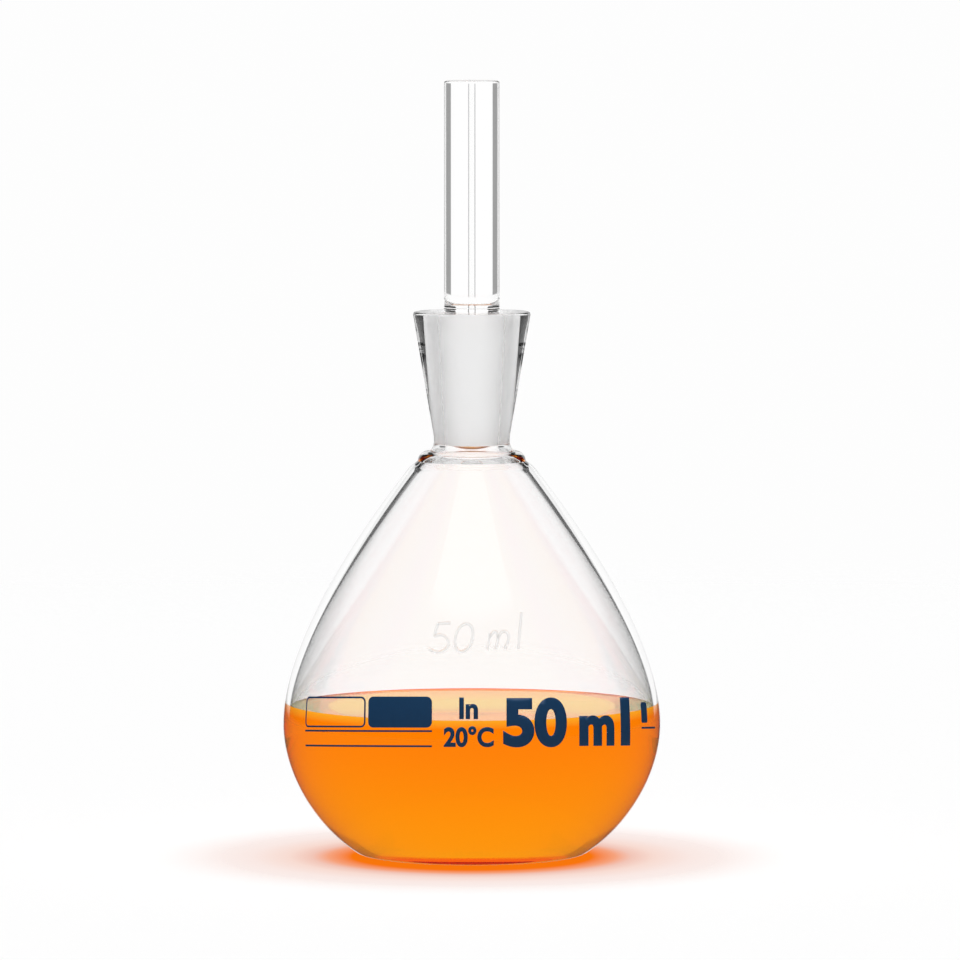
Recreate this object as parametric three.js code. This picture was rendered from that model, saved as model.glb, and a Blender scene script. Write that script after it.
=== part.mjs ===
// Density bottle (pycnometer) of 50 ml with a ground-in capillary stopper, part-filled with test liquid.
// Millimetres, +Z up. The origin is the middle of the ring that the bottle stands on.
import * as THREE from "three";

// Foot and bulb
const CONTACT_RADIUS = 13.7; // outer edge of the flat ring that the bottle stands on
const CONTACT_WIDTH = 2.2; // width of that ring
const PUSH_UP_HEIGHT = 0.45; // how far the middle of the underside is pushed in
const HEEL_RADIUS = 2.0; // rounding between the foot and the lower flank
const HEEL_ANGLE = THREE.MathUtils.degToRad(33); // slope at which the lower flank leaves the foot
const BELLY_RADIUS = 23.85; // largest outer radius
const BELLY_HEIGHT = 16.4;
const SHOULDER_RADIUS = 7.9; // outer radius where the flank ends and the throat begins
const SHOULDER_HEIGHT = 48.9;
const SHOULDER_ANGLE = THREE.MathUtils.degToRad(38.3); // lean of the flank there, from upright
const LOWER_FULLNESS = 0.38; // handle lengths of the flanks, as shares of each flank's height
const BELLY_FULLNESS = 0.31;
const UPPER_FULLNESS = 0.33;
const FLOOR_OVERRUN = 1.0; // how far past the contact ring the floor heads before it turns up into the wall

// Glass thickness
const BASE_WALL = 1.6;
const HEEL_WALL = 1.2;
const BELLY_WALL = 0.8;
const SHOULDER_WALL = 1.4;
const NECK_WALL = 1.45; // beside the small end of the ground socket
const RIM_WALL = 3.25; // beside the large end

// Ground joint
const GROUND_RADIUS = 4.16; // socket radius at the large end
const GROUND_LENGTH = 16.7;
const GROUND_TAPER = 0.1; // change of diameter per length
const GROUND_CLEARANCE = 0.04; // radial gap between the seated cone and its socket
const THROAT_HEIGHT = 3.25; // from the shoulder's end up to the narrowest point of the neck
const WAIST_ABOVE_GROUND = 0.5; // the neck is narrowest this far above the socket's small end
const THROAT_LEAVE = 0.4; // handle lengths of the throat's outside, as shares of its height
const THROAT_ARRIVE = 0.27;
const INNER_THROAT_LEAVE = 0.55; // and of its inside
const INNER_THROAT_ARRIVE = 0.3;
const MOUTH_BEVEL = 0.25; // chamfer at the socket's mouth
const RIM_ROUND = 0.4;

// Capillary stopper
const STEM_RADIUS = 3.5;
const STEM_LENGTH = 29.1; // stem standing above the rim
const STEM_ROUND = 0.35; // fire-polished top edge
const CAPILLARY_RADIUS = 0.33;
const SEAM_HEIGHT = 1.5; // fused seam where the stem joins the cone
const SEAM_BULGE = 0.12;
const SEAM_GROOVE = 0.35; // how far the seam draws in just above the cone
const SEAM_LIFT = 0.3; // gap between the rim and the seam's underside
const CONE_END_ROUND = 0.3; // rounded edge of the cone's lower end

// Liquid
const FILL_HEIGHT = 18.9;
const LIQUID_GAP = 0.1; // clearance kept between the liquid and the glass

// Facets
const SIDES = 40;
const FLANK_STEPS = 9;
const FILLET_STEPS = 3;

// Heights and radii that follow from the sizes above
const GROUND_SLOPE = GROUND_TAPER / 2;
const WAIST_HEIGHT = SHOULDER_HEIGHT + THROAT_HEIGHT;
const GROUND_BOTTOM = WAIST_HEIGHT - WAIST_ABOVE_GROUND;
const GROUND_TOP = GROUND_BOTTOM + GROUND_LENGTH;
const RIM_HEIGHT = GROUND_TOP + MOUTH_BEVEL;
const WAIST_RADIUS = GROUND_RADIUS - GROUND_SLOPE * GROUND_LENGTH + NECK_WALL;
const RIM_RADIUS = GROUND_RADIUS + RIM_WALL;

const point = (radius, height) => new THREE.Vector2(radius, height);

// A cubic curve from one point to another that leaves and arrives along the given unit directions.
function flowCurve(from, leaving, leaveLength, to, arriving, arriveLength) {
  return new THREE.CubicBezierCurve(
    from,
    from.clone().addScaledVector(leaving, leaveLength),
    to.clone().addScaledVector(arriving, -arriveLength),
    to,
  );
}

// Points of an arc about a centre, from one angle to another.
function arcPoints(centre, radius, start, end) {
  const points = [];
  for (let i = 0; i <= FILLET_STEPS; i++) {
    const angle = start + ((end - start) * i) / FILLET_STEPS;
    points.push(point(centre.x + radius * Math.cos(angle), centre.y + radius * Math.sin(angle)));
  }
  return points;
}

// Points along a curve, each moved to the curve's left by the thickness given at that point.
function offsetPoints(curve, steps, thickness) {
  const points = [];
  for (let i = 0; i <= steps; i++) {
    const t = i / steps;
    const along = curve.getTangent(t);
    points.push(curve.getPoint(t).add(point(-along.y, along.x).multiplyScalar(thickness(t))));
  }
  return points;
}

const noOffset = () => 0;
const blend = (from, to) => (t) => THREE.MathUtils.lerp(from, to, t * t * (3 - 2 * t));

// The two flanks of the bulb, bottom to top.
function flankCurves() {
  const upright = point(0, 1);
  const outOfHeel = point(Math.cos(HEEL_ANGLE), Math.sin(HEEL_ANGLE));
  const intoThroat = point(-Math.sin(SHOULDER_ANGLE), Math.cos(SHOULDER_ANGLE));
  const heel = point(
    CONTACT_RADIUS + HEEL_RADIUS * Math.sin(HEEL_ANGLE),
    HEEL_RADIUS * (1 - Math.cos(HEEL_ANGLE)),
  );
  const belly = point(BELLY_RADIUS, BELLY_HEIGHT);
  const shoulder = point(SHOULDER_RADIUS, SHOULDER_HEIGHT);
  const lower = LOWER_FULLNESS * (belly.y - heel.y);
  const height = shoulder.y - belly.y;
  return {
    lower: flowCurve(heel, outOfHeel, lower, belly, upright, lower),
    upper: flowCurve(belly, upright, BELLY_FULLNESS * height, shoulder, intoThroat, UPPER_FULLNESS * height),
    intoThroat,
  };
}

// The outside of the bottle from the middle of the underside to the rim.
function outerProfile() {
  const { lower, upper, intoThroat } = flankCurves();
  const innerContact = CONTACT_RADIUS - CONTACT_WIDTH;
  const underside = new THREE.QuadraticBezierCurve(
    point(0, PUSH_UP_HEIGHT),
    point(innerContact / 2, PUSH_UP_HEIGHT),
    point(innerContact, 0),
  ).getPoints(FILLET_STEPS);
  const heel = arcPoints(point(CONTACT_RADIUS, HEEL_RADIUS), HEEL_RADIUS, -Math.PI / 2, HEEL_ANGLE - Math.PI / 2);
  const waist = point(WAIST_RADIUS, WAIST_HEIGHT);
  const [leave, arrive] = [THROAT_LEAVE * THROAT_HEIGHT, THROAT_ARRIVE * THROAT_HEIGHT];
  const throat = flowCurve(upper.v3, intoThroat, leave, waist, point(0, 1), arrive);
  const flare = (RIM_RADIUS - WAIST_RADIUS) / (RIM_HEIGHT - WAIST_HEIGHT - RIM_ROUND);
  const bend = point(WAIST_RADIUS, WAIST_HEIGHT + RIM_ROUND);
  const coneStart = point(WAIST_RADIUS + flare * RIM_ROUND, bend.y + RIM_ROUND);
  const neck = new THREE.QuadraticBezierCurve(waist, bend, coneStart).getPoints(FILLET_STEPS);
  const rim = arcPoints(point(RIM_RADIUS - RIM_ROUND, RIM_HEIGHT - RIM_ROUND), RIM_ROUND, 0, Math.PI / 2);
  return [
    ...underside,
    ...heel,
    ...offsetPoints(lower, FLANK_STEPS, noOffset).slice(1),
    ...offsetPoints(upper, FLANK_STEPS, noOffset).slice(1),
    ...offsetPoints(throat, FILLET_STEPS, noOffset).slice(1),
    ...neck.slice(1),
    ...rim,
  ];
}

// The inside of the bulb below the ground socket, from the middle of the floor up.
function bulbProfile(gap = 0) {
  const { lower, upper, intoThroat } = flankCurves();
  const inset = gap + HEEL_WALL;
  const lowerInner = offsetPoints(lower, FLANK_STEPS, blend(inset, gap + BELLY_WALL));
  const upperInner = offsetPoints(upper, FLANK_STEPS, blend(gap + BELLY_WALL, gap + SHOULDER_WALL));
  const floorHeight = BASE_WALL + gap;
  const wall = lowerInner.filter((p) => p.y > floorHeight + HEEL_WALL);
  const floorEdge = point(CONTACT_RADIUS - HEEL_RADIUS, floorHeight);
  const corner = point(CONTACT_RADIUS + FLOOR_OVERRUN, floorHeight);
  const heel = new THREE.QuadraticBezierCurve(floorEdge, corner, wall[0]).getPoints(FILLET_STEPS);
  const groundEnd = point(WAIST_RADIUS - NECK_WALL - gap, GROUND_BOTTOM);
  const start = upperInner.at(-1);
  const reach = GROUND_BOTTOM - start.y;
  const [leave, arrive] = [INNER_THROAT_LEAVE * reach, INNER_THROAT_ARRIVE * reach];
  const throat = flowCurve(start, intoThroat, leave, groundEnd, point(0, 1), arrive);
  return [
    point(0, floorHeight + PUSH_UP_HEIGHT),
    ...heel,
    ...wall.slice(1),
    ...upperInner.slice(1),
    ...throat.getPoints(FILLET_STEPS).slice(1),
  ];
}

// A closed solid turned from a profile of radius and height.
function turned(name, profile, material) {
  const geometry = new THREE.LatheGeometry(profile, SIDES).rotateX(Math.PI / 2);
  const mesh = new THREE.Mesh(geometry, material);
  mesh.name = name;
  return mesh;
}

// Bulb, neck and ground socket: one blown and fused piece of glass.
function flaskBody(glass) {
  const mouth = [point(GROUND_RADIUS + MOUTH_BEVEL, RIM_HEIGHT), point(GROUND_RADIUS, GROUND_TOP)];
  return turned("flask_body", [...outerProfile(), ...mouth, ...bulbProfile().reverse()], glass);
}

// Ground cone and capillary stem: one piece of thick-walled tube, bored right through.
function capillaryStopper(glass) {
  const topRadius = GROUND_RADIUS - GROUND_CLEARANCE;
  const endRadius = topRadius - GROUND_SLOPE * GROUND_LENGTH;
  const seamFoot = RIM_HEIGHT + SEAM_LIFT;
  const seamTop = seamFoot + SEAM_HEIGHT;
  const stemTop = RIM_HEIGHT + STEM_LENGTH;
  const groove = Math.min(STEM_RADIUS, topRadius) - SEAM_GROOVE;
  const bulge = new THREE.CubicBezierCurve(
    point(STEM_RADIUS, seamFoot),
    point(STEM_RADIUS + SEAM_BULGE, seamFoot + SEAM_HEIGHT / 3),
    point(STEM_RADIUS + SEAM_BULGE, seamTop - SEAM_HEIGHT / 3),
    point(STEM_RADIUS, seamTop),
  ).getPoints(FILLET_STEPS);
  const coneEnd = arcPoints(
    point(endRadius - CONE_END_ROUND, GROUND_BOTTOM + CONE_END_ROUND),
    CONE_END_ROUND,
    -Math.PI / 2,
    0,
  );
  const stemEnd = arcPoints(point(STEM_RADIUS - STEM_ROUND, stemTop - STEM_ROUND), STEM_ROUND, 0, Math.PI / 2);
  return turned(
    "capillary_stopper",
    [
      point(CAPILLARY_RADIUS, GROUND_BOTTOM),
      ...coneEnd,
      point(topRadius, GROUND_TOP),
      point(groove, GROUND_TOP + MOUTH_BEVEL),
      ...bulge,
      ...stemEnd,
      point(CAPILLARY_RADIUS, stemTop),
      point(CAPILLARY_RADIUS, GROUND_BOTTOM),
    ],
    glass,
  );
}

// The liquid's wetted surface follows the inside of the bulb, and its top is flat.
function testLiquid(material) {
  const wall = bulbProfile(LIQUID_GAP);
  const above = wall.findIndex((p) => p.y > FILL_HEIGHT);
  const [low, high] = [wall[above - 1], wall[above]];
  const surface = low.clone().lerp(high, (FILL_HEIGHT - low.y) / (high.y - low.y));
  return turned("test_liquid", [...wall.slice(0, above), surface, point(0, FILL_HEIGHT)], material);
}

const clearGlass = new THREE.MeshStandardMaterial({
  color: 0xf2f6f6,
  roughness: 0.03,
  metalness: 0,
  transparent: true,
  opacity: 0.3,
});
const stopperGlass = clearGlass.clone();
const orangeLiquid = new THREE.MeshStandardMaterial({
  color: 0xff8200,
  roughness: 0.02,
  metalness: 0,
  transparent: true,
  opacity: 0.8,
});

const bottle = new THREE.Group();
bottle.add(flaskBody(clearGlass), capillaryStopper(stopperGlass), testLiquid(orangeLiquid));

export default bottle;
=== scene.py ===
"""Looks of a 50 ml density bottle: blown bulb, ground capillary stopper, orange test liquid and fired print.

The frame is in metres. Every piece states its own sizes in millimetres, and is drawn at MM metres to each.
"""

import logging
import math
from contextlib import contextmanager
from dataclasses import dataclass, field
from enum import Enum
from typing import Iterator

import bpy
from bpy.types import Curve, Material, Node, NodeSocket, NodeTree, Object
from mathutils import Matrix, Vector


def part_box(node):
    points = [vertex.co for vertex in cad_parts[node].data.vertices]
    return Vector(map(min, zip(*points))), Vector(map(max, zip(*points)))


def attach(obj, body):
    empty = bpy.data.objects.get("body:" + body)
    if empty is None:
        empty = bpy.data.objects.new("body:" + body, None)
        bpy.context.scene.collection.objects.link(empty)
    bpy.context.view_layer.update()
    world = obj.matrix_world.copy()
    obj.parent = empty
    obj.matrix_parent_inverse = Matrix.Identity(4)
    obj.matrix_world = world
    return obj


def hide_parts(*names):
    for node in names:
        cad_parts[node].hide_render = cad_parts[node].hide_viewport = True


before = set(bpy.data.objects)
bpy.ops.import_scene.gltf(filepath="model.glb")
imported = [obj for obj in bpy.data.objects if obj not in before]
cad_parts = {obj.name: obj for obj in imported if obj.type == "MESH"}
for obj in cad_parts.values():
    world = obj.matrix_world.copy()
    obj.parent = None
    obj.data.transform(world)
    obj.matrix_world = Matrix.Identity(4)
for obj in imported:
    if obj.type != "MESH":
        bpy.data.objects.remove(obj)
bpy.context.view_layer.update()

log = logging.getLogger("density_bottle")

MM = 0.001
THIRD = 1 / 3
UPRIGHT = Vector((0, 1))


# ---- Small tools ----


def linear(hex_colour: str) -> tuple[float, float, float, float]:
    """Turns an sRGB hex colour into linear RGBA.

    Args:
        hex_colour: the colour as "#rrggbb".

    Returns:
        Red, green, blue and an alpha of 1, linear.
    """
    parts = [int(hex_colour[i : i + 2], 16) / 255 for i in (1, 3, 5)]
    red, green, blue = (c / 12.92 if c <= 0.04045 else ((c + 0.055) / 1.055) ** 2.4 for c in parts)
    return red, green, blue, 1.0


def node_height(node: str) -> float:
    """Height of a CAD node's top, in millimetres."""
    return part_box(node)[1].z / MM


def add_node(tree: NodeTree, kind: str, inputs: dict, **settings: object) -> Node:
    """Adds one shader node, sets it up and links it.

    Args:
        tree: the node tree.
        kind: the node's type name, without the "ShaderNode" that they all start with.
        inputs: for each input's name or number, a value, or the node or socket that feeds it.
        settings: properties by name; "stops" is a ramp's list of (position, colour or grey).

    Returns:
        The node.
    """
    node = tree.nodes.new("ShaderNode" + kind)
    for index, (position, colour) in enumerate(settings.pop("stops", ())):
        elements = node.color_ramp.elements
        stop = elements[index] if index < 2 else elements.new(position)
        stop.position = position
        stop.color = (colour, colour, colour, 1) if isinstance(colour, float) else colour
    for name, value in settings.items():
        setattr(node, name, value)
    for key, value in inputs.items():
        source = value.outputs[0] if isinstance(value, Node) else value
        if isinstance(source, NodeSocket):
            tree.links.new(source, node.inputs[key])
        else:
            node.inputs[key].default_value = source
    return node


def new_material(name: str) -> tuple[Material, NodeTree, NodeSocket]:
    """Makes an empty node material.

    Args:
        name: the material's name.

    Returns:
        The material, its node tree and the socket that gives the place on the piece, in metres.
    """
    material = bpy.data.materials.new(name)
    material.use_nodes = True
    material.node_tree.nodes.clear()
    return material, material.node_tree, add_node(material.node_tree, "TexCoord", {}).outputs["Object"]


def only(piece: Object) -> None:
    """Selects one object and makes it active, with nothing else selected.

    Args:
        piece: the object.
    """
    bpy.ops.object.select_all(action="DESELECT")
    piece.select_set(True)
    bpy.context.view_layer.objects.active = piece


@contextmanager
def editing(piece: Object) -> Iterator[None]:
    """Edit mode on one object, with all of it selected.

    Args:
        piece: the object.
    """
    only(piece)
    bpy.ops.object.mode_set(mode="EDIT")
    bpy.ops.mesh.select_all(action="SELECT")
    yield
    bpy.ops.object.mode_set(mode="OBJECT")


def to_mesh(name: str) -> Object:
    """Turns the active curve or text into a mesh.

    Args:
        name: the name that the piece and its mesh get.

    Returns:
        The mesh object.
    """
    bpy.ops.object.convert(target="MESH")
    piece = bpy.context.object
    piece.name = piece.data.name = name
    return piece


def add_bezier(count: int, detail: int) -> Curve:
    """Adds a curve object.

    Args:
        count: how many points its spline has.
        detail: how many stretches each curve between two points gets.

    Returns:
        The curve's data.
    """
    bpy.ops.curve.primitive_bezier_curve_add()
    data = bpy.context.object.data
    data.resolution_u = detail
    data.splines[0].bezier_points.add(count - len(data.splines[0].bezier_points))
    return data


def apply_modifier(piece: Object, kind: str, settings: dict) -> None:
    """Adds a modifier and applies it.

    Args:
        piece: the mesh that it changes.
        kind: the modifier's type name.
        settings: its properties by name.
    """
    only(piece)
    modifier = piece.modifiers.new(kind.title(), kind)
    for name, value in settings.items():
        setattr(modifier, name, value)
    bpy.ops.object.modifier_apply(modifier=modifier.name)


def join(name: str, pieces: list[Object]) -> Object:
    """Joins several meshes into one piece.

    Args:
        name: the name of the joined piece.
        pieces: what is joined.

    Returns:
        The joined piece.
    """
    only(pieces[0])
    for piece in pieces:
        piece.select_set(True)
    bpy.ops.object.join()
    joined = bpy.context.object
    joined.name = joined.data.name = name
    return joined


# ---- Turned profiles ----


@dataclass
class Knot:
    """A point of a profile and the two handles that shape the curve through it, in millimetres."""

    at: Vector
    back: Vector
    ahead: Vector


@dataclass(frozen=True)
class Flank:
    """A cubic curve of radius and height, in millimetres, with a wall thickness that changes along it."""

    points: tuple[Vector, Vector, Vector, Vector]
    wall_start: float = 0.0
    wall_end: float = 0.0
    nudge: float = 1e-3

    def on(self, share: float) -> Vector:
        """The point at a share of the curve, from 0 to 1."""
        (a, b, c, d), rest = self.points, 1 - share
        return a * rest**3 + b * (3 * rest**2 * share) + c * (3 * rest * share**2) + d * share**3

    def slope(self, share: float) -> Vector:
        """The unit direction of the curve at a share of it, from 0 to 1."""
        (a, b, c, d), rest = self.points, 1 - share
        return ((b - a) * rest**2 + (c - b) * (2 * rest * share) + (d - c) * share**2).normalized()

    def inside(self, share: float) -> Vector:
        """The point of the inner wall beside a share of the curve.

        Args:
            share: that share, from 0 to 1.

        Returns:
            The point.
        """
        ease = share * share * (3 - 2 * share)
        wall = self.wall_start + (self.wall_end - self.wall_start) * ease
        along = self.slope(share)
        return self.on(share) + Vector((-along.y, along.x)) * wall

    def heading(self, share: float) -> Vector:
        """The unit direction of the inner wall beside a share of the curve."""
        low, high = max(0.0, share - self.nudge), min(1.0, share + self.nudge)
        return (self.inside(high) - self.inside(low)).normalized()

    def share_at(self, height: float, inner: bool = True) -> float:
        """Finds where the curve reaches a height.

        Args:
            height: that height.
            inner: whether it is the inner wall that has to reach it.

        Returns:
            The share of the curve, from 0 to 1.
        """
        low, high = 0.0, 1.0
        for _ in range(40):
            middle = (low + high) / 2
            reached = self.inside(middle).y if inner else self.on(middle).y
            low, high = (middle, high) if reached < height else (low, middle)
        return (low + high) / 2


class Outline:
    """A profile of radius and height, drawn as a chain of curves, in millimetres."""

    def __init__(self, radius: float, height: float) -> None:
        """Starts the profile at a point."""
        start = Vector((radius, height))
        self.knots = [Knot(start, start.copy(), start.copy())]

    @property
    def end(self) -> Vector:
        """The point that the profile has reached."""
        return self.knots[-1].at

    def curve(self, first: Vector, second: Vector, end: Vector) -> "Outline":
        """Goes on by a cubic curve.

        Args:
            first: the handle of the point that it leaves.
            second: the handle of the point that it reaches.
            end: the point that it reaches.

        Returns:
            The profile itself.
        """
        self.knots[-1].ahead = first
        self.knots.append(Knot(end, second, end.copy()))
        return self

    def line(self, radius: float, height: float) -> "Outline":
        """Goes straight to a point."""
        end = Vector((radius, height))
        return self.curve(self.end.lerp(end, THIRD), self.end.lerp(end, 2 * THIRD), end)

    def bend(self, corner: Vector, end: Vector) -> "Outline":
        """Goes to a point by a curve that rounds off a corner."""
        return self.curve(self.end.lerp(corner, 2 * THIRD), end.lerp(corner, 2 * THIRD), end)

    def flow(self, leaving: Vector, leave: float, end: Vector, arriving: Vector, arrive: float) -> "Outline":
        """Goes to a point, leaving and arriving along given directions with given handle lengths."""
        return self.curve(self.end + leaving * leave, end - arriving * arrive, end)

    def wall(self, flank: Flank, shares: list[float]) -> "Outline":
        """Follows a flank's inner wall.

        Args:
            flank: the flank.
            shares: the shares of it that the profile goes through, the first of which is where it is.

        Returns:
            The profile itself.
        """
        for start, stop in zip(shares, shares[1:]):
            ahead = 1 if stop > start else -1
            end = flank.inside(stop)
            reach = (end - self.end).length * THIRD * ahead
            self.flow(flank.heading(start), reach, end, flank.heading(stop), reach)
        return self

    def turn(self, name: str, closed: bool, detail: int, steps: int) -> Object:
        """Draws the profile as a curve and spins it round the upright axis into a closed skin.

        Args:
            name: the piece's name.
            closed: whether the profile closes on itself, away from the axis.
            detail: points on each stretch of the profile.
            steps: facets round the axis.

        Returns:
            The turned piece, smooth, with its faces pointing out.
        """
        spline = add_bezier(len(self.knots), detail).splines[0]
        for point, knot in zip(spline.bezier_points, self.knots):
            point.handle_left_type = point.handle_right_type = "FREE"
            point.co, point.handle_left, point.handle_right = (
                Vector((p.x, 0, p.y)) * MM for p in (knot.at, knot.back, knot.ahead)
            )
        spline.use_cyclic_u = closed
        piece = to_mesh(name)
        with editing(piece):
            bpy.ops.mesh.spin(steps=steps, angle=math.tau, center=(0, 0, 0), axis=(0, 0, 1))
            bpy.ops.mesh.select_all(action="SELECT")
            bpy.ops.mesh.remove_doubles(threshold=0.002 * MM)
            bpy.ops.mesh.normals_make_consistent(inside=False)
        only(piece)
        bpy.ops.object.shade_smooth_by_angle(angle=math.radians(32))
        return piece


# ---- Finishes ----


@dataclass(frozen=True)
class Grain:
    """A fine pattern in a surface, which its colour, gloss and relief can follow. Sizes in millimetres."""

    size: float
    fineness: float
    contrast: float = 0.5
    depth: float = 0.0
    strength: float = 1.0

    def draw(self, tree: NodeTree, place: NodeSocket) -> tuple[NodeSocket, Node | None]:
        """Draws the pattern.

        Args:
            tree: where its nodes go.
            place: the place on the piece, in metres.

        Returns:
            The pattern, from 0 to 1, and the relief that it gives, if it has any depth.
        """
        look = {"Scale": 1 / (self.size * MM), "Detail": self.fineness, "Roughness": self.contrast}
        pattern = add_node(tree, "TexNoise", {"Vector": place, **look}).outputs["Fac"]
        relief = {"Height": pattern, "Distance": self.depth * MM, "Strength": self.strength}
        return pattern, add_node(tree, "Bump", relief) if self.depth else None


@dataclass(frozen=True)
class BlownGlass:
    """Borosilicate 3.3 glass, blown and flame-worked, with one band ground with fine grit.

    The flame leaves it perfectly clear with a faint waviness; the ground band scatters light and looks milky.
    """

    name: str
    ior: float = 1.473
    tint: str = "#FEFEFE"
    ground_from: float = 0.0  # heights of the ground band, in millimetres
    ground_to: float = 0.0
    ground_inner: float = 0.0  # radii between which a surface at that height is ground
    ground_outer: float = 0.0
    ground_roughness: float = 0.55
    patchy: float = 0.08  # how much that varies from mark to mark
    edge: float = 0.06  # how softly the ground band ends
    grit: Grain = Grain(0.16, 4.0, 0.6)  # grinding marks, drawn coarser than the real 0.03 mm to show at all
    wave: Grain = Grain(9.0, 1.0, depth=0.02, strength=0.3)  # the waviness that blowing leaves

    def material(self) -> Material:
        """Makes the glass.

        Returns:
            The material.
        """
        material, tree, place = new_material(self.name)
        parts = add_node(tree, "SeparateXYZ", {0: place})
        flat = add_node(tree, "CombineXYZ", {0: parts.outputs[0], 1: parts.outputs[1]})
        radius = add_node(tree, "VectorMath", {0: flat}, operation="LENGTH")
        ground = self._band(tree, parts.outputs[2], self.ground_from, self.ground_to)
        depth = self._band(tree, radius.outputs["Value"], self.ground_inner, self.ground_outer)
        mask = add_node(tree, "Math", {0: ground, 1: depth}, operation="MULTIPLY")
        marks, _ = self.grit.draw(tree, place)
        finest, coarsest = self.ground_roughness - self.patchy, self.ground_roughness + self.patchy
        spread = add_node(tree, "MapRange", {0: marks, 3: finest, 4: coarsest})
        rough = add_node(tree, "Math", {0: mask, 1: spread}, operation="MULTIPLY")
        _, wavy = self.wave.draw(tree, place)
        look = {"Base Color": linear(self.tint), "Transmission Weight": 1.0, "IOR": self.ior}
        shader = add_node(tree, "BsdfPrincipled", {"Roughness": rough, "Normal": wavy, **look})
        add_node(tree, "OutputMaterial", {"Surface": shader})
        return material

    def _band(self, tree: NodeTree, value: NodeSocket, low: float, high: float) -> NodeSocket:
        """A soft mask that is 1 where a value lies between two sizes.

        Args:
            tree: where its nodes go.
            value: the value, in metres.
            low: the lower size, in millimetres.
            high: the higher size, in millimetres.

        Returns:
            The mask.
        """
        rise = {0: value, 1: (low - self.edge) * MM, 2: (low + self.edge) * MM}
        fall = {0: value, 1: (high - self.edge) * MM, 2: (high + self.edge) * MM, 3: 1.0, 4: 0.0}
        rising = add_node(tree, "MapRange", rise, interpolation_type="SMOOTHSTEP")
        falling = add_node(tree, "MapRange", fall, interpolation_type="SMOOTHSTEP")
        return add_node(tree, "Math", {0: rising, 1: falling}, operation="MULTIPLY").outputs[0]


@dataclass(frozen=True)
class DyedLiquid:
    """Water with an orange dye: clear and saturated, yellower near the foot and pale where it thins out."""

    name: str
    ior: float
    level: float  # height of its flat surface, in millimetres
    rise: float  # how far it climbs above that at the wall, thinning out, in millimetres
    colour: str = "#FF8A02"
    foot_colour: str = "#FFAC04"
    thin_colour: str = "#FFF0DC"
    foot_to: float = 2.0  # height up to which it has the foot's colour, in millimetres
    full_from: float = 16.0  # height from which it has its full colour, in millimetres
    fade: float = 0.9  # how far below the flat surface it starts to thin out, in millimetres
    absorbed: str = "#FF9030"
    density: float = 6.0  # per metre
    mirrored: str = ""  # tint of what a free surface mirrors, or nothing against the glass

    def material(self) -> Material:
        """Makes the liquid.

        Returns:
            The material.
        """
        material, tree, place = new_material(self.name)
        height = add_node(tree, "SeparateXYZ", {0: place}).outputs[2]
        top = self.level + self.rise
        share = add_node(tree, "Math", {0: height, 1: top * MM}, operation="DIVIDE")
        stops = [
            (self.foot_to / top, linear(self.foot_colour)),
            (self.full_from / top, linear(self.colour)),
            ((self.level - self.fade) / top, linear(self.colour)),
            (1.0, linear(self.thin_colour)),
        ]
        tint = add_node(tree, "ValToRGB", {0: share}, stops=stops)
        dye = {"Color": linear(self.absorbed), "Density": self.density}
        inside = add_node(tree, "VolumeAbsorption", dye)
        bend = {"Roughness": 0.0, "IOR": self.ior}
        if self.mirrored:
            slant = add_node(tree, "Fresnel", {"IOR": self.ior})
            seen = add_node(tree, "BsdfRefraction", {"Color": tint, **bend})
            shine = {"Color": linear(self.mirrored), "Roughness": 0.0}
            sheen = add_node(tree, "BsdfGlossy", shine)
            skin = add_node(tree, "MixShader", {0: slant, 1: seen, 2: sheen})
        else:
            look = {"Base Color": tint, "Transmission Weight": 1.0, **bend}
            skin = add_node(tree, "BsdfPrincipled", look)
        add_node(tree, "OutputMaterial", {"Surface": skin, "Volume": inside})
        return material


@dataclass(frozen=True)
class FiredEnamel:
    """Dark blue ceramic enamel, screen printed and fired. It is dense and half glossy, a little mottled."""

    name: str = "fired_blue_enamel"
    colour: str = "#053C66"
    thin: str = "#084570"
    ior: float = 1.45
    glossiest: float = 0.49
    dullest: float = 0.65
    mottle: Grain = Grain(0.5, 3.0, 0.55, depth=0.01, strength=0.5)

    def material(self) -> Material:
        """Makes the enamel.

        Returns:
            The material.
        """
        material, tree, place = new_material(self.name)
        cloud, pits = self.mottle.draw(tree, place)
        colours = {0: cloud, 6: linear(self.colour), 7: linear(self.thin)}
        paint = add_node(tree, "Mix", colours, data_type="RGBA").outputs[2]
        gloss = add_node(tree, "MapRange", {0: cloud, 3: self.glossiest, 4: self.dullest})
        look = {"Base Color": paint, "Roughness": gloss, "IOR": self.ior, "Normal": pits}
        add_node(tree, "OutputMaterial", {"Surface": add_node(tree, "BsdfPrincipled", look)})
        return material


@dataclass(frozen=True)
class EngravedGlass:
    """Glass cut with a diamond point. The cut is a chain of tiny chips, so it is a faint milky grey."""

    name: str = "engraved_glass"
    colour: str = "#F8FAFB"
    clarity: float = 0.93
    ior: float = 1.12
    smoothest: float = 0.35
    roughest: float = 0.6
    chips: Grain = Grain(0.12, 2.0, depth=0.02, strength=0.6)

    def material(self) -> Material:
        """Makes the engraved line.

        Returns:
            The material.
        """
        material, tree, place = new_material(self.name)
        marks, cut = self.chips.draw(tree, place)
        spread = add_node(tree, "MapRange", {0: marks, 3: self.smoothest, 4: self.roughest})
        look = {"Base Color": linear(self.colour), "Transmission Weight": self.clarity, "IOR": self.ior}
        shader = add_node(tree, "BsdfPrincipled", {"Roughness": spread, "Normal": cut, **look})
        add_node(tree, "OutputMaterial", {"Surface": shader})
        return material


# ---- Bottle ----


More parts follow.
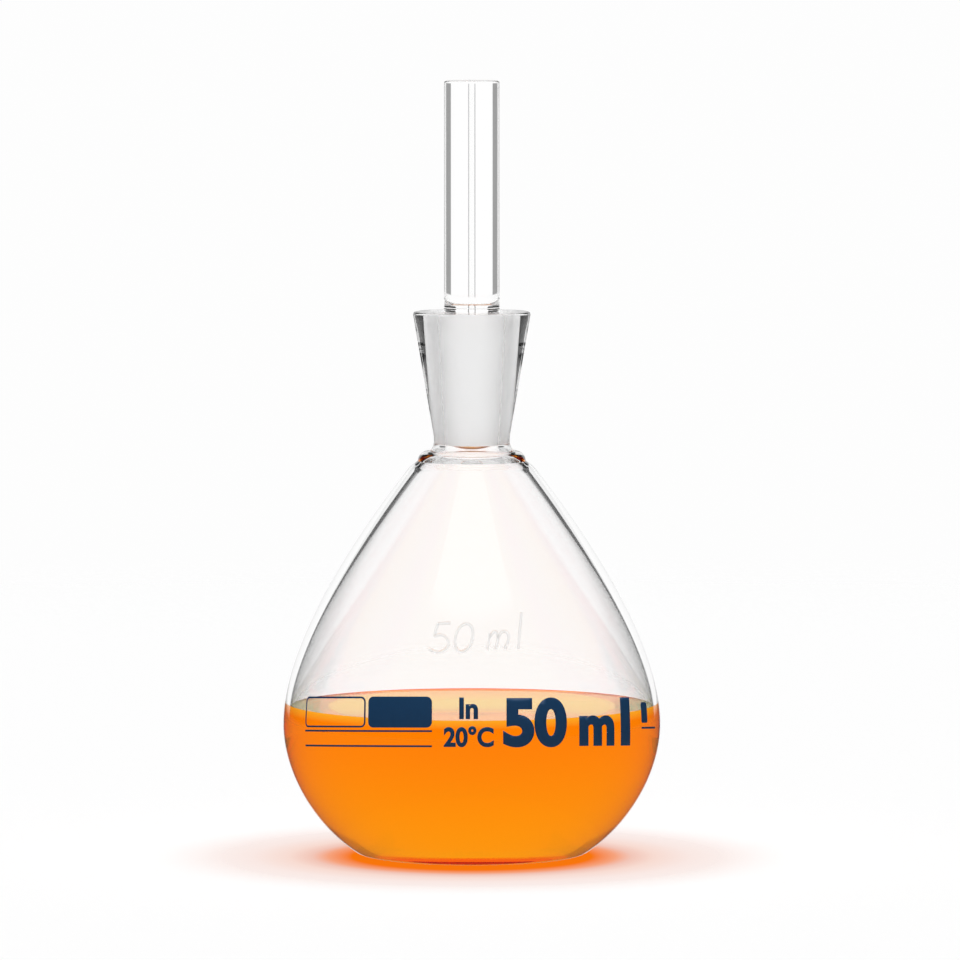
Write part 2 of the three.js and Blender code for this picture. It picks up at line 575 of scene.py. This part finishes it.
@dataclass
class Bottle:
    """The blown bulb with its foot, throat and ground socket: one piece of glass. Sizes in millimetres."""

    belly_radius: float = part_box("flask_body")[1].x / MM
    rim_height: float = node_height("flask_body")
    contact_radius: float = 13.7
    contact_width: float = 2.2
    push_up: float = 0.45
    heel_radius: float = 2.0
    heel_angle: float = math.radians(33)
    belly_height: float = 16.4
    shoulder_radius: float = 7.9
    shoulder_height: float = 48.9
    shoulder_angle: float = math.radians(38.3)
    lower_fullness: float = 0.38
    belly_fullness: float = 0.31
    upper_fullness: float = 0.33
    base_wall: float = 1.6
    heel_wall: float = 1.2
    belly_wall: float = 0.8
    shoulder_wall: float = 1.4
    floor_overrun: float = 1.0
    ground_large: float = 4.16
    ground_small: float = 3.325
    ground_length: float = 16.7
    mouth_bevel: float = 0.25
    rim_round: float = 0.4
    rim_wall: float = 3.25
    neck_wall: float = 1.45
    throat_height: float = 3.4
    throat_above: float = 0.3  # how long the throat's inside holds the socket's direction, as a share of it
    throat_below: float = 0.55
    bead_radius: float = 6.8  # where the neck's fused bead rises from the shoulder
    bead_height: float = 49.75
    bead_width: float = 1.3
    bead_rise: float = 1.25
    bead_fullness: float = 0.58
    water_ior: float = 1.333
    detail: int = 14
    steps: int = 160
    heel: Vector = field(init=False)
    out_of_heel: Vector = field(init=False)
    into_throat: Vector = field(init=False)
    lower: Flank = field(init=False)
    upper: Flank = field(init=False)

    def __post_init__(self) -> None:
        """Works out the two flanks of the bulb."""
        angle, lean = self.heel_angle, self.shoulder_angle
        out, up = self.heel_radius * math.sin(angle), self.heel_radius * (1 - math.cos(angle))
        self.heel = Vector((self.contact_radius + out, up))
        self.out_of_heel = Vector((math.cos(angle), math.sin(angle)))
        self.into_throat = Vector((-math.sin(lean), math.cos(lean)))
        belly = Vector((self.belly_radius, self.belly_height))
        shoulder = Vector((self.shoulder_radius, self.shoulder_height))
        reach = self.lower_fullness * (belly.y - self.heel.y)
        rise = shoulder.y - belly.y
        leaving, arriving = self.heel + self.out_of_heel * reach, belly - UPRIGHT * reach
        self.lower = Flank((self.heel, leaving, arriving, belly), self.heel_wall, self.belly_wall)
        leaving = belly + UPRIGHT * (self.belly_fullness * rise)
        arriving = shoulder - self.into_throat * (self.upper_fullness * rise)
        self.upper = Flank((belly, leaving, arriving, shoulder), self.belly_wall, self.shoulder_wall)

    @property
    def ground_top(self) -> float:
        """Height of the ground socket's large end."""
        return self.rim_height - self.mouth_bevel

    @property
    def ground_bottom(self) -> float:
        """Height of the ground socket's small end."""
        return self.ground_top - self.ground_length

    def radius_at(self, height: float) -> float:
        """Outer radius of the bulb at a height between the foot and the shoulder."""
        flank = self.upper if height > self.belly_height else self.lower
        return flank.on(flank.share_at(height, inner=False)).x

    def outside(self) -> Outline:
        """The outside of the glass.

        Returns:
            The profile, from the middle of the underside to the mouth.
        """
        inner_contact = self.contact_radius - self.contact_width
        arc = 4 * THIRD * math.tan(self.heel_angle / 4) * self.heel_radius
        outline = Outline(0, self.push_up)
        outline.bend(Vector((inner_contact / 2, self.push_up)), Vector((inner_contact, 0)))
        outline.line(self.contact_radius, 0)
        outline.flow(Vector((1, 0)), arc, self.heel, self.out_of_heel, arc)
        for flank, count in ((self.lower, 3), (self.upper, 4)):
            skin = Flank(flank.points)
            outline.wall(skin, [i / count for i in range(count + 1)])
        waist = Vector((self.ground_small + self.neck_wall, self.shoulder_height + self.throat_height))
        crease = Vector((self.bead_radius, self.bead_height))
        crown = crease + Vector((-self.bead_width, self.bead_rise))
        inward = Vector((-1, 0))
        outline.flow(self.into_throat, THIRD, crease, (crease - outline.end).normalized(), THIRD)
        rise, width = self.bead_rise * self.bead_fullness, self.bead_width * self.bead_fullness
        outline.flow(UPRIGHT, rise, crown, inward, width)
        outline.flow(inward, THIRD, waist, UPRIGHT, 2 * THIRD)
        rim_radius = self.ground_large + self.rim_wall
        flare = (rim_radius - waist.x) / (self.rim_height - waist.y - self.rim_round)
        corner = waist + UPRIGHT * self.rim_round
        outline.bend(corner, corner + Vector((flare, 1)) * self.rim_round)
        outline.line(rim_radius, self.rim_height - self.rim_round)
        edge = Vector((rim_radius, self.rim_height))
        outline.bend(edge, edge - Vector((self.rim_round, 0)))
        outline.line(self.ground_large + self.mouth_bevel, self.rim_height)
        outline.line(self.ground_large, self.ground_top)
        return outline

    def skin(self, fill: float) -> Outline:
        """The whole glass, outside and inside, with a ring of points where the liquid meets the wall.

        Args:
            fill: height of that ring.

        Returns:
            The profile, which starts and ends on the axis.
        """
        outline = self.outside().line(self.ground_small, self.ground_bottom)
        start = self.upper.inside(1)
        reach = self.ground_bottom - start.y
        above, below = self.throat_above * reach, self.throat_below * reach
        outline.flow(-UPRIGHT, above, start, -self.into_throat, below)
        wet = self.upper.share_at(fill)
        outline.wall(self.upper, [1 - (1 - wet) * i / 5 for i in range(6)])
        outline.wall(self.upper, [wet, 0])
        return self._down_to_floor(outline, 0.0)

    def _down_to_floor(self, outline: Outline, into_glass: float) -> Outline:
        """Goes on from the belly's inside down the wall and in along the floor to the axis.

        Args:
            outline: the profile so far.
            into_glass: how far it lies inside the glass.

        Returns:
            The profile.
        """
        lower = Flank(self.lower.points, self.heel_wall - into_glass, self.belly_wall - into_glass)
        floor = self.base_wall - into_glass
        foot = lower.share_at(floor + self.heel_wall)
        outline.wall(lower, [1 - (1 - foot) * i / 3 for i in range(4)])
        corner = Vector((self.contact_radius + self.floor_overrun, floor))
        outline.bend(corner, Vector((self.contact_radius - self.heel_radius, floor)))
        middle = Vector((0, floor + self.push_up))
        return outline.bend(Vector((self.contact_radius / 2, middle.y)), middle)

    def wetted(self, fill: float, into_glass: float) -> Outline:
        """The wetted wall as the liquid fills it, from the contact line down to the axis.

        Args:
            fill: height of the contact line.
            into_glass: how far the liquid's skin lies inside the glass.

        Returns:
            The profile.
        """
        upper = Flank(self.upper.points, self.belly_wall - into_glass, self.shoulder_wall - into_glass)
        wet = upper.share_at(fill)
        start = upper.inside(wet)
        outline = Outline(start.x, start.y)
        outline.wall(upper, [wet, 0])
        return self._down_to_floor(outline, into_glass)

    def _is_wetted(self, centre: Vector, fill: float) -> bool:
        """Tells whether the liquid wets a face.

        Args:
            centre: the face's centre, in millimetres.
            fill: height at which the liquid meets the wall.

        Returns:
            Whether it does.
        """
        wall = self.belly_wall / 2 if centre.z > self.base_wall * 2 else self.belly_wall
        within = self.radius_at(max(centre.z, self.heel.y)) - wall
        return self.base_wall / 2 < centre.z < fill and math.hypot(centre.x, centre.y) < within

    def build(self, fill: float) -> Object:
        """Makes the bottle and dresses it.

        Args:
            fill: height at which the liquid meets the wall.

        Returns:
            The bottle.
        """
        piece = self.skin(fill).turn("bottle_glass", False, self.detail, self.steps)
        dry = BlownGlass(
            "blown_borosilicate_glass",
            ground_from=self.ground_bottom,
            ground_to=self.ground_top,
            ground_inner=self.ground_small - 1,
            ground_outer=self.ground_large + 0.2,
        )
        # Light bends less where glass meets liquid than where it meets air, so that wall is a glass apart.
        wet = BlownGlass("wetted_borosilicate_glass", ior=dry.ior / self.water_ior)
        piece.data.materials.append(dry.material())
        piece.data.materials.append(wet.material())
        for polygon in piece.data.polygons:
            polygon.material_index = int(self._is_wetted(Vector(polygon.center) / MM, fill))
        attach(piece, "flask")
        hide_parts("flask_body")
        log.info("%s: %d faces", piece.name, len(piece.data.polygons))
        return piece


@dataclass
class Stopper:
    """The ground cone and the capillary stem above it: one piece of thick tube. Sizes in millimetres."""

    bottle: Bottle
    stem_radius: float = 3.5
    stem_round: float = 0.35
    bore: float = 0.33
    clearance: float = 0.04
    seam_lift: float = 0.2
    seam_height: float = 0.4
    seam_bulge: float = 0.04
    seam_groove: float = 0.12
    end_round: float = 0.3
    bore_funnel: float = 0.12
    detail: int = 12
    steps: int = 128

    def profile(self) -> Outline:
        """The section of the tube.

        Returns:
            The profile, which ends where it starts.
        """
        bottle = self.bottle
        top = node_height("capillary_stopper")
        large, small = bottle.ground_large - self.clearance, bottle.ground_small - self.clearance
        low = bottle.ground_bottom
        seam = bottle.rim_height + self.seam_lift
        outline = Outline(self.bore, low)
        outline.line(small - self.end_round, low)
        outline.bend(Vector((small, low)), Vector((small, low + self.end_round)))
        outline.line(large, bottle.ground_top)
        outline.line(self.stem_radius - self.seam_groove, bottle.rim_height)
        outline.line(self.stem_radius, seam)
        low_bulge = Vector((self.stem_radius + self.seam_bulge, seam + self.seam_height * THIRD))
        high_bulge = Vector((self.stem_radius + self.seam_bulge, seam + self.seam_height * 2 * THIRD))
        outline.curve(low_bulge, high_bulge, Vector((self.stem_radius, seam + self.seam_height)))
        outline.line(self.stem_radius, top - self.stem_round)
        outline.bend(Vector((self.stem_radius, top)), Vector((self.stem_radius - self.stem_round, top)))
        outline.line(self.bore + self.bore_funnel, top)
        outline.bend(Vector((self.bore, top)), Vector((self.bore, top - self.bore_funnel)))
        outline.line(self.bore, low)
        return outline

    def build(self) -> Object:
        """Makes the stopper and dresses it.

        Returns:
            The stopper.
        """
        outline = self.profile()
        outline.knots[0].back = outline.knots.pop().back
        piece = outline.turn("capillary_stopper_glass", True, self.detail, self.steps)
        glass = BlownGlass(
            "drawn_capillary_glass",
            ground_from=self.bottle.ground_bottom,
            ground_to=self.bottle.ground_top,
            ground_inner=self.bottle.ground_small / 2,
            ground_outer=self.bottle.ground_large + 0.2,
        )
        piece.data.materials.append(glass.material())
        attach(piece, "stopper")
        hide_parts("capillary_stopper")
        log.info("%s: %d faces", piece.name, len(piece.data.polygons))
        return piece


@dataclass
class Liquid:
    """The dyed liquid that fills the lower half of the bulb. Sizes in millimetres."""

    bottle: Bottle
    level: float = 18.9  # its flat top
    rise: float = 0.16  # how far it climbs up the wall
    meniscus: float = 1.2  # how far that rise reaches in from the wall
    meniscus_hold: float = 0.6  # how much of that reach stays nearly flat
    wall_hold: float = 0.45  # how much of the rise stays nearly steep
    contact_angle: float = math.radians(60)
    into_glass: float = 0.02  # it lies this far inside the glass, so that no air shows between the two
    detail: int = 14
    steps: int = 160

    @property
    def fill(self) -> float:
        """Height at which the liquid meets the wall."""
        return self.level + self.rise

    def build(self) -> Object:
        """Makes the liquid and dresses it.

        Returns:
            The liquid.
        """
        outline = Outline(0, self.level)
        wall = self.bottle.wetted(self.fill, self.into_glass)
        contact = wall.knots[0].at
        outline.line(contact.x - self.meniscus, self.level)
        flat, steep = self.meniscus * self.meniscus_hold, self.rise * self.wall_hold
        climbing = Vector((math.sin(self.contact_angle), math.cos(self.contact_angle)))
        outline.flow(Vector((1, 0)), flat, contact, climbing, steep)
        outline.knots[-1].ahead = wall.knots[0].ahead
        outline.knots.extend(wall.knots[1:])
        piece = outline.turn("orange_liquid_fill", False, self.detail, self.steps)
        yellow = "#FFFF50"  # so little of the dye's colour that the light under it still shows
        water = self.bottle.water_ior
        top = DyedLiquid(
            "dyed_water_surface", water, self.level, self.rise, yellow, yellow, yellow, mirrored="#FFF9D4"
        )
        # Against the glass the bend is the wetted glass's own, so the liquid's skin there adds none.
        side = DyedLiquid("dyed_water_against_glass", 1.0, self.level, self.rise)
        piece.data.materials.append(top.material())
        piece.data.materials.append(side.material())
        facet = contact.x * (1 - math.cos(math.pi / self.steps))
        for polygon in piece.data.polygons:
            centre = Vector(polygon.center) / MM
            within = math.hypot(centre.x, centre.y) < contact.x - 2 * facet
            polygon.material_index = int(not (within and centre.z > self.level - facet))
        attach(piece, "flask")
        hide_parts("test_liquid")
        log.info("%s: %d faces", piece.name, len(piece.data.polygons))
        return piece


# ---- Marks on the bulb ----


@dataclass(frozen=True)
class Patch:
    """Where a mark lies: its left and right edge in degrees round the bulb, its bottom and top height."""

    left: float
    right: float
    bottom: float
    top: float


@dataclass
class Marks:
    """Printing and engraving on the front of the bulb. Sizes in millimetres, angles in degrees."""

    bottle: Bottle
    proud: float = 0.03  # how far the print stands out of the glass
    thickness: float = 0.04
    facet: float = 0.8  # widest facet once a mark is wrapped
    droop: float = 2.3  # how far the print would sink by a quarter turn, as it does on a double-curved bulb

    def wrap(self, piece: Object, lift: float) -> None:
        """Lays a flat mark on the bulb.

        Args:
            piece: a mesh whose x is degrees round the belly, y a height, z its stand-off in millimetres. It
                keeps its width in millimetres where the bulb is narrower than that, as a printed film does.
            lift: how far all of it stands out of the glass.
        """
        for vertex in piece.data.vertices:
            angle = math.radians(vertex.co.x)
            height = vertex.co.y - self.droop * (1 - math.cos(angle))
            skin = self.bottle.radius_at(height)
            angle *= self.bottle.belly_radius / skin
            radius = skin + lift + vertex.co.z
            vertex.co = Vector((radius * math.sin(angle), -radius * math.cos(angle), height)) * MM
        piece.data.update()

    def slice_up(self, piece: Object) -> None:
        """Cuts a flat mark into strips narrow enough to follow the bulb, both ways.

        Args:
            piece: the mark.
        """
        per_degree = math.radians(self.bottle.belly_radius)
        low = [min(v.co[axis] for v in piece.data.vertices) for axis in range(2)]
        high = [max(v.co[axis] for v in piece.data.vertices) for axis in range(2)]
        with editing(piece):
            for axis, step in ((0, self.facet / per_degree), (1, self.facet)):
                normal = [0.0, 0.0, 0.0]
                normal[axis] = 1.0
                for count in range(1, int((high[axis] - low[axis]) / step) + 1):
                    at = [0.0, 0.0, 0.0]
                    at[axis] = low[axis] + count * step
                    bpy.ops.mesh.select_all(action="SELECT")
                    bpy.ops.mesh.bisect(plane_co=at, plane_no=normal)

    def fit(self, piece: Object, patch: Patch) -> None:
        """Stretches a flat mark to fill its patch.

        Args:
            piece: the mark.
            patch: where it lies.
        """
        for axis, (low, high) in enumerate(((patch.left, patch.right), (patch.bottom, patch.top))):
            values = [v.co[axis] for v in piece.data.vertices]
            start, span = min(values), max(values) - min(values)
            for vertex in piece.data.vertices:
                vertex.co[axis] = low + (vertex.co[axis] - start) / span * (high - low)

    def finish_print(self, piece: Object) -> None:
        """Slices a flat mark, wraps it and gives it the thickness of fired enamel.

        Args:
            piece: the mark.
        """
        self.slice_up(piece)
        self.wrap(piece, self.proud)
        apply_modifier(piece, "SOLIDIFY", {"thickness": self.thickness * MM, "offset": -1.0})

    def word(self, text: str, weight: float, patch: Patch) -> Object:
        """Sets one printed word.

        Args:
            text: what it says.
            weight: how much the strokes are thickened, as a share of the letter height.
            patch: where it lies.

        Returns:
            The word, flat.
        """
        bpy.ops.object.text_add()
        letters = bpy.context.object.data
        letters.body = text
        letters.offset = weight
        letters.resolution_u = 10
        piece = to_mesh("word")
        with editing(piece):
            bpy.ops.mesh.remove_doubles(threshold=1e-4)
        self.fit(piece, patch)
        return piece

    def bar(self, patch: Patch) -> Object:
        """A plain filled block.

        Args:
            patch: where it lies.

        Returns:
            The block, flat.
        """
        bpy.ops.mesh.primitive_plane_add()
        piece = bpy.context.object
        self.fit(piece, patch)
        return piece

    def plate(self, patch: Patch, line: float, corner: float) -> Object:
        """A block with rounded corners.

        Args:
            patch: where it lies.
            line: width of the outline it is drawn with, or 0 for a filled block.
            corner: radius of its corners.

        Returns:
            The block, flat.
        """
        per_degree = math.radians(self.bottle.belly_radius)
        left, right = patch.left * per_degree, patch.right * per_degree
        piece = self.bar(Patch(left, right, patch.bottom, patch.top))
        with editing(piece):
            bpy.ops.mesh.bevel(offset=corner, segments=6, affect="VERTICES")
            if line:
                bpy.ops.mesh.select_all(action="SELECT")
                bpy.ops.mesh.inset(thickness=line)
                bpy.ops.mesh.delete(type="FACE")
        for vertex in piece.data.vertices:
            vertex.co.x /= per_degree
        return piece

    def dress(self, piece: Object, material: Material) -> None:
        """Gives a mark its finish and fixes it to the bottle.

        Args:
            piece: the mark.
            material: its finish.
        """
        piece.data.materials.clear()
        piece.data.materials.append(material)
        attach(piece, "flask")
        log.info("%s: %d faces", piece.name, len(piece.data.polygons))

    def capacity(self, enamel: Material) -> None:
        """Prints the capacity and its calibration temperature.

        Args:
            enamel: the print's finish.
        """
        base, top = 16.0, 22.0
        words = [
            self.word("In", 0.036, Patch(-3.7, 1.9, 19.35, 22.0)),
            self.word("20°C", 0.038, Patch(-8.35, 6.6, base - 0.12, 18.5)),
            self.word("50", 0.045, Patch(9.4, 29.7, base - 0.15, top)),
            self.word("m", 0.045, Patch(34.1, 48.2, base, 19.8)),
            self.word("l", 0.045, Patch(51.3, 56.1, base, top)),
            self.bar(Patch(63.2, 75.0, 18.1, 18.35)),
            self.plate(Patch(63.2, 67.5, 18.85, 21.4), 0.0, 0.3),
        ]
        for word in words:
            self.finish_print(word)
        self.dress(join("capacity_print", words), enamel)

    def label(self, enamel: Material) -> None:
        """Prints a blank frame with a filled end and two rules, where a maker's block would be.

        Args:
            enamel: the print's finish.
        """
        left, split, right = -60.8, -32.6, -11.9
        shapes = [
            self.plate(Patch(left, split - 1, 18.3, 22.1), 0.22, 0.7),
            self.plate(Patch(split, right, 18.3, 22.1), 0.0, 0.7),
            self.bar(Patch(left, right, 17.76, 17.99)),
            self.bar(Patch(left, right, 15.88, 16.11)),
        ]
        for shape in shapes:
            self.finish_print(shape)
        self.dress(join("blank_label", shapes), enamel)

    def stroke(self, points: list[tuple[float, float]], width: float) -> Object:
        """One engraved stroke.

        Args:
            points: where the point of the tool passed, in millimetres across and up.
            width: width of the cut.

        Returns:
            The stroke as a round tube, lying on its plane.
        """
        data = add_bezier(len(points), 8)
        data.bevel_depth = width / 2
        data.bevel_resolution = 3
        data.use_fill_caps = True
        for knot, (across, up) in zip(data.splines[0].bezier_points, points):
            knot.co = (across, up, 0)
            knot.handle_left_type = knot.handle_right_type = "AUTO"
        return to_mesh("stroke")

    def engraving(self, width: float = 0.34, depth: float = 0.08) -> None:
        """Cuts the capacity by hand, in slanted single lines.

        Args:
            width: width of the cut.
            depth: depth of the cut.
        """
        flag, back = [(-2.6, 30.95), (-4.25, 30.85)], [(-4.25, 30.85), (-4.7, 29.35)]
        bowl = [(-4.7, 29.35), (-3.7, 29.5), (-2.95, 28.8), (-3.2, 27.9), (-4.2, 27.45), (-5.4, 27.85)]
        nought = [
            (-0.95 + 1.12 * math.sin(a) * 0.95 + 0.32 * math.cos(a), 29.2 + 1.68 * math.cos(a))
            for a in (math.tau * i / 12 for i in range(13))
        ]
        first = [(1.95, 27.75), (2.3, 29.75)]
        arch = [(2.25, 29.3), (2.95, 29.9), (3.25, 29.45), (2.95, 27.75)]
        second = [(3.2, 29.2), (4.1, 29.95), (4.6, 29.5), (4.15, 27.8)]
        tall = [(6.3, 32.2), (5.85, 27.85)]
        cuts = (flag, back, bowl, nought, first, arch, second, tall)
        strokes = [self.stroke(points, width) for points in cuts]
        piece = join("engraved_capacity", strokes)
        across = math.degrees(1 / self.bottle.belly_radius)
        for vertex in piece.data.vertices:
            vertex.co.x *= across
            vertex.co.z *= depth / width
        self.wrap(piece, 0.0)
        only(piece)
        bpy.ops.object.shade_smooth()
        self.dress(piece, EngravedGlass().material())

    def build(self) -> None:
        """Makes every mark."""
        enamel = FiredEnamel().material()
        self.capacity(enamel)
        self.label(enamel)
        self.engraving()


# ---- Studio ----


class Shade(Enum):
    """Brightness of the panels that surround the table."""

    LAMP = 9.1
    TOP_BOX = 1.1
    PAPER = 1.06
    CARD = 0.8
    HIGH_WALL = 0.75
    HIGH_SIDE = 0.55
    GREY = 0.34
    WALL = 0.08
    BLACK = 0.01


@dataclass(frozen=True)
class Belt:
    """A belt of panels round the table.

    Each panel starts at an angle in degrees, counted both ways round from straight behind the bottle.
    """

    bottom: float  # degrees above the horizon
    soft: float  # degrees over which it takes over from the belt below
    panels: tuple[tuple[float, Shade], ...]


@dataclass
class Studio:
    """A white table in a ring of white panels with dark gaps, which draw the glass's edges. Metres."""

    distance: float = 1.1
    eye_height: float = 0.128
    aim_height: float = 0.0473
    aside: float = 0.001035
    lens: float = 327.6
    table: float = 0.5
    table_white: float = 0.92
    table_lift: float = 0.07  # as much brighter as the paper is, where it is seen through glass
    painted_bright_colour: str = "#FFE0A0"  # painted light: the colour painted on the table under the foot for the light that the liquid gathers there
    painted_bright_to: float = 0.0105
    painted_orange_from: float = 0.0137
    painted_pool_ahead: float = 0.004  # and round the foot, where the painted light and shadow reach a little further forward
    painted_pool_reach: float = 0.042
    painted_pool_from: float = 0.75  # share of that reach past which the painted light and shadow give way to the lit table
    # Painted light and shade on the table: orange for the light the liquid throws there, then pale pinks for
    # the bottle's soft shadow round it.
    painted_light_pool: tuple[tuple[float, str], ...] = (
        (0.36, "#F8760C"),
        (0.43, "#F6A27C"),
        (0.48, "#F2C6B8"),
        (0.55, "#F8DCD2"),
        (0.66, "#FAE9E4"),
        (1.0, "#FEFCFB"),
    )
    fade_from: float = 0.3
    fade_to: float = 0.46
    background: float = 0.985
    panel_edge: float = 0.7  # degrees over which a panel gives way to the next

    def camera(self) -> None:
        """Puts the camera in front, a little above the bottle, at a long distance."""
        tilt = math.atan2(self.eye_height - self.aim_height, self.distance)
        bpy.ops.object.camera_add(
            location=(self.aside, -self.distance, self.eye_height), rotation=(math.pi / 2 - tilt, 0, 0)
        )
        camera = bpy.context.object
        camera.data.lens = self.lens
        camera.data.clip_start = 0.01
        bpy.context.scene.camera = camera

    def floor(self) -> None:
        """A pale round table top that fades away at its edge. Round the foot, light and soft shadow are
        painted on it as emission, in orange and pale pinks, in place of the light and shade that the bottle
        casts.
        """
        bpy.ops.mesh.primitive_circle_add(vertices=96, radius=self.table, fill_type="NGON")
        table = bpy.context.object
        table.name = "table"
        material, tree, place = new_material("matt_white_table_with_painted_pool")
        radius = add_node(tree, "VectorMath", {0: place}, operation="LENGTH")
        fading = {0: radius.outputs["Value"], 1: self.fade_from, 2: self.fade_to}
        fade = add_node(tree, "MapRange", fading, interpolation_type="SMOOTHSTEP")
        white = (self.table_white, self.table_white, self.table_white, 1)
        paint = add_node(tree, "BsdfDiffuse", {"Color": white})
        clear = add_node(tree, "BsdfTransparent", {})
        # Painted light and shadow: emission round the foot that replaces the table's own shading there.
        centre = add_node(tree, "VectorMath", {0: place, 1: (0, -self.painted_pool_ahead, 0)}, operation="DISTANCE")
        reach = add_node(tree, "Math", {0: centre.outputs["Value"], 1: self.painted_pool_reach}, operation="DIVIDE")
        spread = [(position, linear(colour)) for position, colour in self.painted_light_pool]
        orange = add_node(tree, "ValToRGB", {0: reach}, stops=spread)
        fall = {0: reach.outputs[0], 1: self.painted_pool_from, 2: 1.0, 3: 1.0, 4: 0.0}
        share = add_node(tree, "MapRange", fall)
        under = {0: radius.outputs["Value"], 1: self.painted_bright_to, 2: self.painted_orange_from}
        outward = add_node(tree, "MapRange", under).outputs[0]
        colours = {0: outward, 6: linear(self.painted_bright_colour), 7: orange}
        painted_glare = add_node(tree, "Mix", colours, data_type="RGBA").outputs[2]
        painted_light_pool = add_node(tree, "Emission", {"Color": painted_glare})
        path = add_node(tree, "LightPath", {})
        lift = {0: path.outputs["Is Transmission Ray"], 1: self.table_lift}
        glow = add_node(tree, "Math", lift, operation="MULTIPLY")
        lit = add_node(tree, "Emission", {"Strength": glow})
        top = add_node(tree, "AddShader", {0: paint, 1: lit})
        with_painted_pool = add_node(tree, "MixShader", {0: share, 1: top, 2: painted_light_pool})
        mix = add_node(tree, "MixShader", {0: fade, 1: with_painted_pool, 2: clear})
        add_node(tree, "OutputMaterial", {"Surface": mix})
        table.data.materials.append(material)
        table.visible_glossy = False

    def light(self) -> None:
        """Lights the table from a lamp overhead, and shows the glass its panels."""
        world = bpy.data.worlds.new("panels")
        bpy.context.scene.world = world
        world.use_nodes = True
        tree = world.node_tree
        tree.nodes.clear()
        way = add_node(tree, "TexCoord", {}).outputs["Generated"]
        parts = add_node(tree, "SeparateXYZ", {0: way})
        around = {0: parts.outputs[0], 1: parts.outputs[1]}
        turn = add_node(tree, "Math", around, operation="ARCTAN2")
        side = add_node(tree, "Math", {0: turn}, operation="ABSOLUTE")
        share = add_node(tree, "Math", {0: side, 1: math.pi}, operation="DIVIDE")
        lift = add_node(tree, "Math", {0: parts.outputs[2]}, operation="ARCSINE")
        height = add_node(tree, "Math", {0: lift}, operation="DEGREES")
        place = (share.outputs[0], height.outputs[0])
        paper, card, wall = Shade.PAPER, Shade.CARD, Shade.WALL
        # Solid glass and light that a wall throws aside show dark flags, what lies behind a hollow does not.
        through_walls = (
            Belt(-90, 1, ((0, paper),)),
            Belt(-6.5, 0.5, ((0, paper), (36, Shade.GREY), (57, paper), (70, Shade.GREY), (84, card))),
            Belt(-1, 0.3, ((0, paper), (25, Shade.BLACK), (68, card))),
            Belt(22, 5, ((0, card),)),
        )
        through_hollows = (
            Belt(-90, 1, ((0, paper),)),
            Belt(13, 1, ((0, paper), (60, Shade.HIGH_WALL), (110, paper))),
            Belt(30, 2, ((0, paper), (32, Shade.HIGH_WALL), (45, Shade.HIGH_SIDE), (135, paper))),
            Belt(49, 3, ((0, paper),)),
        )
        mirrored = (
            Belt(-90, 1, ((0, wall),)),
            Belt(-14, 2, ((0, card), (10, wall))),
            Belt(-3, 1, ((0, card), (30, Shade.BLACK))),
            Belt(14, 2, ((0, wall),)),
            Belt(49, 3, ((0, wall), (138, Shade.TOP_BOX))),
        )
        lamp = (Belt(-90, 1, ((0, Shade.BLACK),)), Belt(70, 2, ((0, Shade.LAMP),)))
        path = add_node(tree, "LightPath", {}).outputs
        # Light that has not yet met the table or the print sees the panels, and all other light the lamp.
        unspread = {0: path["Diffuse Depth"], 1: 0.5}
        fresh = add_node(tree, "Math", unspread, operation="LESS_THAN")
        depth = {0: path["Transmission Depth"], 1: 2.5}
        deep = add_node(tree, "Math", depth, operation="GREATER_THAN")
        walls, hollows = self._belts(tree, place, through_walls), self._belts(tree, place, through_hollows)
        through = add_node(tree, "Mix", {0: deep, 6: walls, 7: hollows}, data_type="RGBA").outputs[2]
        shine = self._belts(tree, place, lamp)
        for kind, panels in (
            ("Is Transmission Ray", through),
            ("Is Reflection Ray", self._belts(tree, place, mirrored)),
        ):
            kinds = {0: path[kind], 1: fresh.outputs[0]}
            chosen = add_node(tree, "Math", kinds, operation="MULTIPLY")
            shine = add_node(tree, "Mix", {0: chosen, 6: shine, 7: panels}, data_type="RGBA").outputs[2]
        plain = (self.background, self.background, self.background, 1)
        seen = {0: path["Is Camera Ray"], 6: shine, 7: plain}
        shine = add_node(tree, "Mix", seen, data_type="RGBA").outputs[2]
        backdrop = add_node(tree, "Background", {"Color": shine})
        add_node(tree, "OutputWorld", {"Surface": backdrop})

    def _belts(
        self,
        tree: NodeTree,
        place: tuple[NodeSocket, NodeSocket],
        belts: tuple[Belt, ...],
    ) -> NodeSocket:
        """Stacks belts of panels.

        Args:
            tree: the world's node tree.
            place: the direction's share of the way round, and its degrees above the horizon.
            belts: the belts, from the lowest up.

        Returns:
            The colour seen in that direction.
        """
        around, height = place
        colour = None
        for belt in belts:
            stops = []
            for start, shade in belt.panels:
                if stops:
                    stops.append(((start - self.panel_edge) / 180, stops[-1][1]))
                stops.append(((start + self.panel_edge) / 180, shade.value))
            stops.append((1.0, stops[-1][1]))
            ring = add_node(tree, "ValToRGB", {0: around}, stops=stops).outputs[0]
            edge = {0: height, 1: belt.bottom - belt.soft, 2: belt.bottom + belt.soft}
            rise = add_node(tree, "MapRange", edge, interpolation_type="SMOOTHSTEP")
            blend = {0: rise, 6: colour, 7: ring}
            colour = ring if colour is None else add_node(tree, "Mix", blend, data_type="RGBA").outputs[2]
        return colour

    def build(self) -> None:
        """Sets up the whole studio."""
        self.camera()
        self.floor()
        self.light()
        scene = bpy.context.scene
        scene.view_settings.view_transform = "Standard"
        scene.cycles.max_bounces = 36
        scene.cycles.transmission_bounces = 32
        scene.cycles.glossy_bounces = 12
        scene.cycles.diffuse_bounces = 4
        scene.cycles.transparent_max_bounces = 24
        scene.cycles.blur_glossy = 0.3


def main() -> None:
    """Builds the bottle, its stopper, the liquid and the marks, then the studio round them."""
    logging.basicConfig(level=logging.INFO, format="%(name)s: %(message)s")
    Studio().build()
    bottle = Bottle()
    liquid = Liquid(bottle)
    bottle.build(liquid.fill)
    liquid.build()
    Stopper(bottle).build()
    Marks(bottle).build()


if __name__ == "__main__":
    main()
